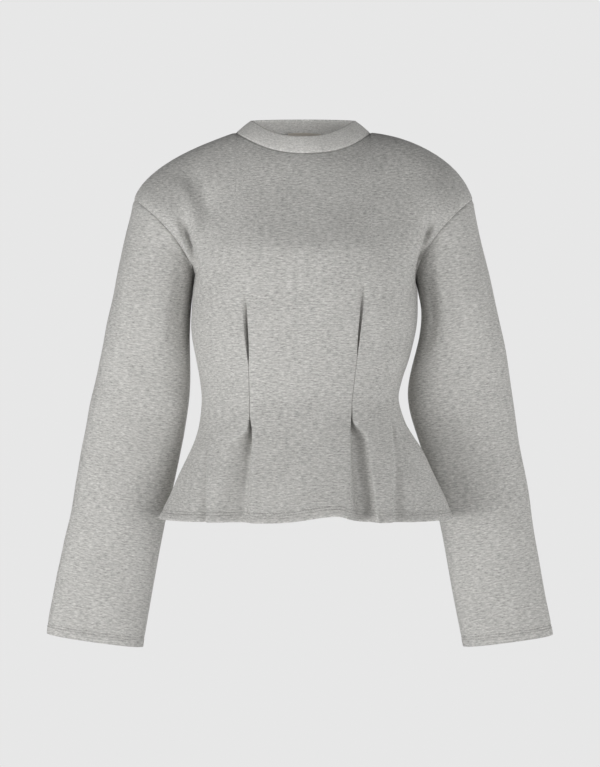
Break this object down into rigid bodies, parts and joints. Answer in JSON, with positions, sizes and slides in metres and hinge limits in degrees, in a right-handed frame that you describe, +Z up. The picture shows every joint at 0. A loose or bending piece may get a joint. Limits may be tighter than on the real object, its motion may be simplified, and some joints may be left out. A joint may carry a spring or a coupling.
{
  "type": "peplum top",
  "caption": "Hollow long-sleeved fleece top, held up as worn: rib neckband, dropped shoulders, tucked waist and a flared peplum.",
  "frame": {"origin": "middle of the line between the two neck points of the shoulder seams, where the wearer's shoulders hold the top up", "axes": "+Z up along the wearer's spine, -Y to the front, +X to the wearer's left"},
  "size_m": [0.7003, 0.2619, 0.7273],
  "materials": {
    "fleece_front": "matte grey marl fleece",
    "fleece_back": "matte grey marl fleece",
    "fleece_sleeve_right": "matte grey marl fleece",
    "fleece_sleeve_left": "matte grey marl fleece",
    "rib": "matte grey marl rib",
    "label": "matte cream cotton tape"
  },
  "bodies": {
    "root": {"front": "fleece_front", "back": "fleece_back", "sleeve_right": "fleece_sleeve_right", "sleeve_left": "fleece_sleeve_left", "neckband": "rib", "neck_label": "label"}
  },
  "joints": []
}
